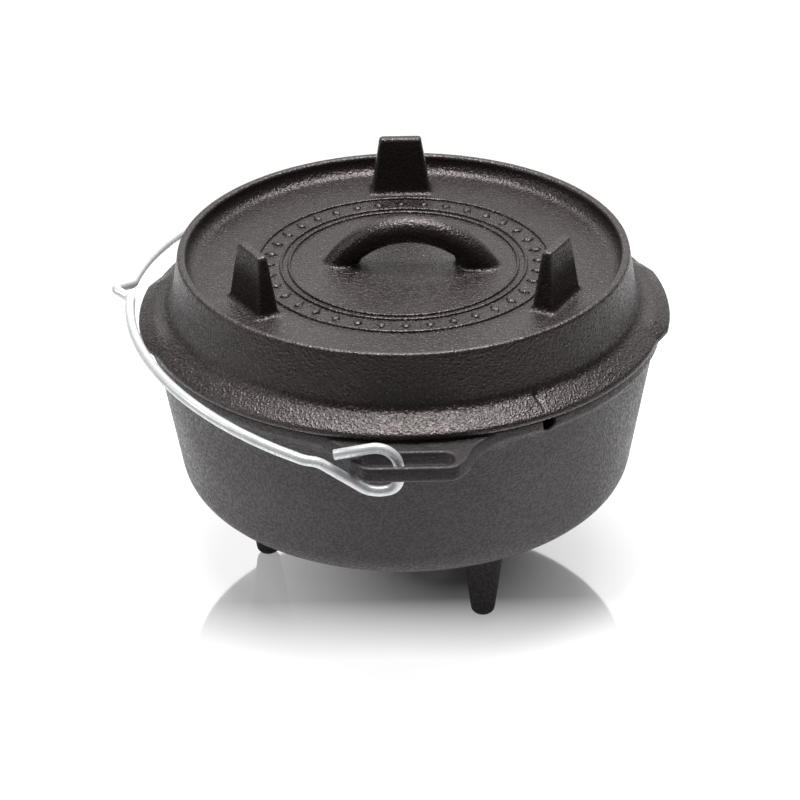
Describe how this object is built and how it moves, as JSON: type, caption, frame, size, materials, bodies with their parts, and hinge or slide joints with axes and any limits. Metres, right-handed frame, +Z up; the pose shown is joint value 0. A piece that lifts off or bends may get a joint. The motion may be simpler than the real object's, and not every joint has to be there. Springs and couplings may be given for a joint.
{
  "type": "footed cast iron dutch oven",
  "caption": "Footed cast iron camp oven: tapered pot with slotted ears and legs, tray lid with a loop handle and stub feet, and a hooked wire bail.",
  "frame": {"origin": "on the pot's axis at the level of the floor that the legs stand on", "axes": "+Z up along the pot's axis; the two ears lie on the Y axis; the lid's grip tabs lie on the X axis, and the bail rests towards -X"},
  "size_m": [0.2404, 0.2628, 0.1697],
  "materials": {
    "pot_iron": "seasoned as-cast, fine sandy grain, dull black-brown",
    "lid_iron": "seasoned as-cast, fine sandy grain, slight oil sheen on the tray",
    "bail_wire": "bright zinc-plated steel wire"
  },
  "bodies": {
    "pot": {"pot": "pot_iron"},
    "lid": {"lid": "lid_iron"},
    "bail": {"bail": "bail_wire"}
  },
  "joints": [
    {"name": "bail_swing", "type": "hinge", "parent": "pot", "child": "bail", "pos_m": [-0.0222, 0, 0.11615], "axis": [0, 1, 0], "range_deg": [0, 120]},
    {"name": "lid_lift", "type": "slide", "parent": "pot", "child": "lid", "axis": [0, 0, 1], "range_m": [0, 0.12]}
  ]
}
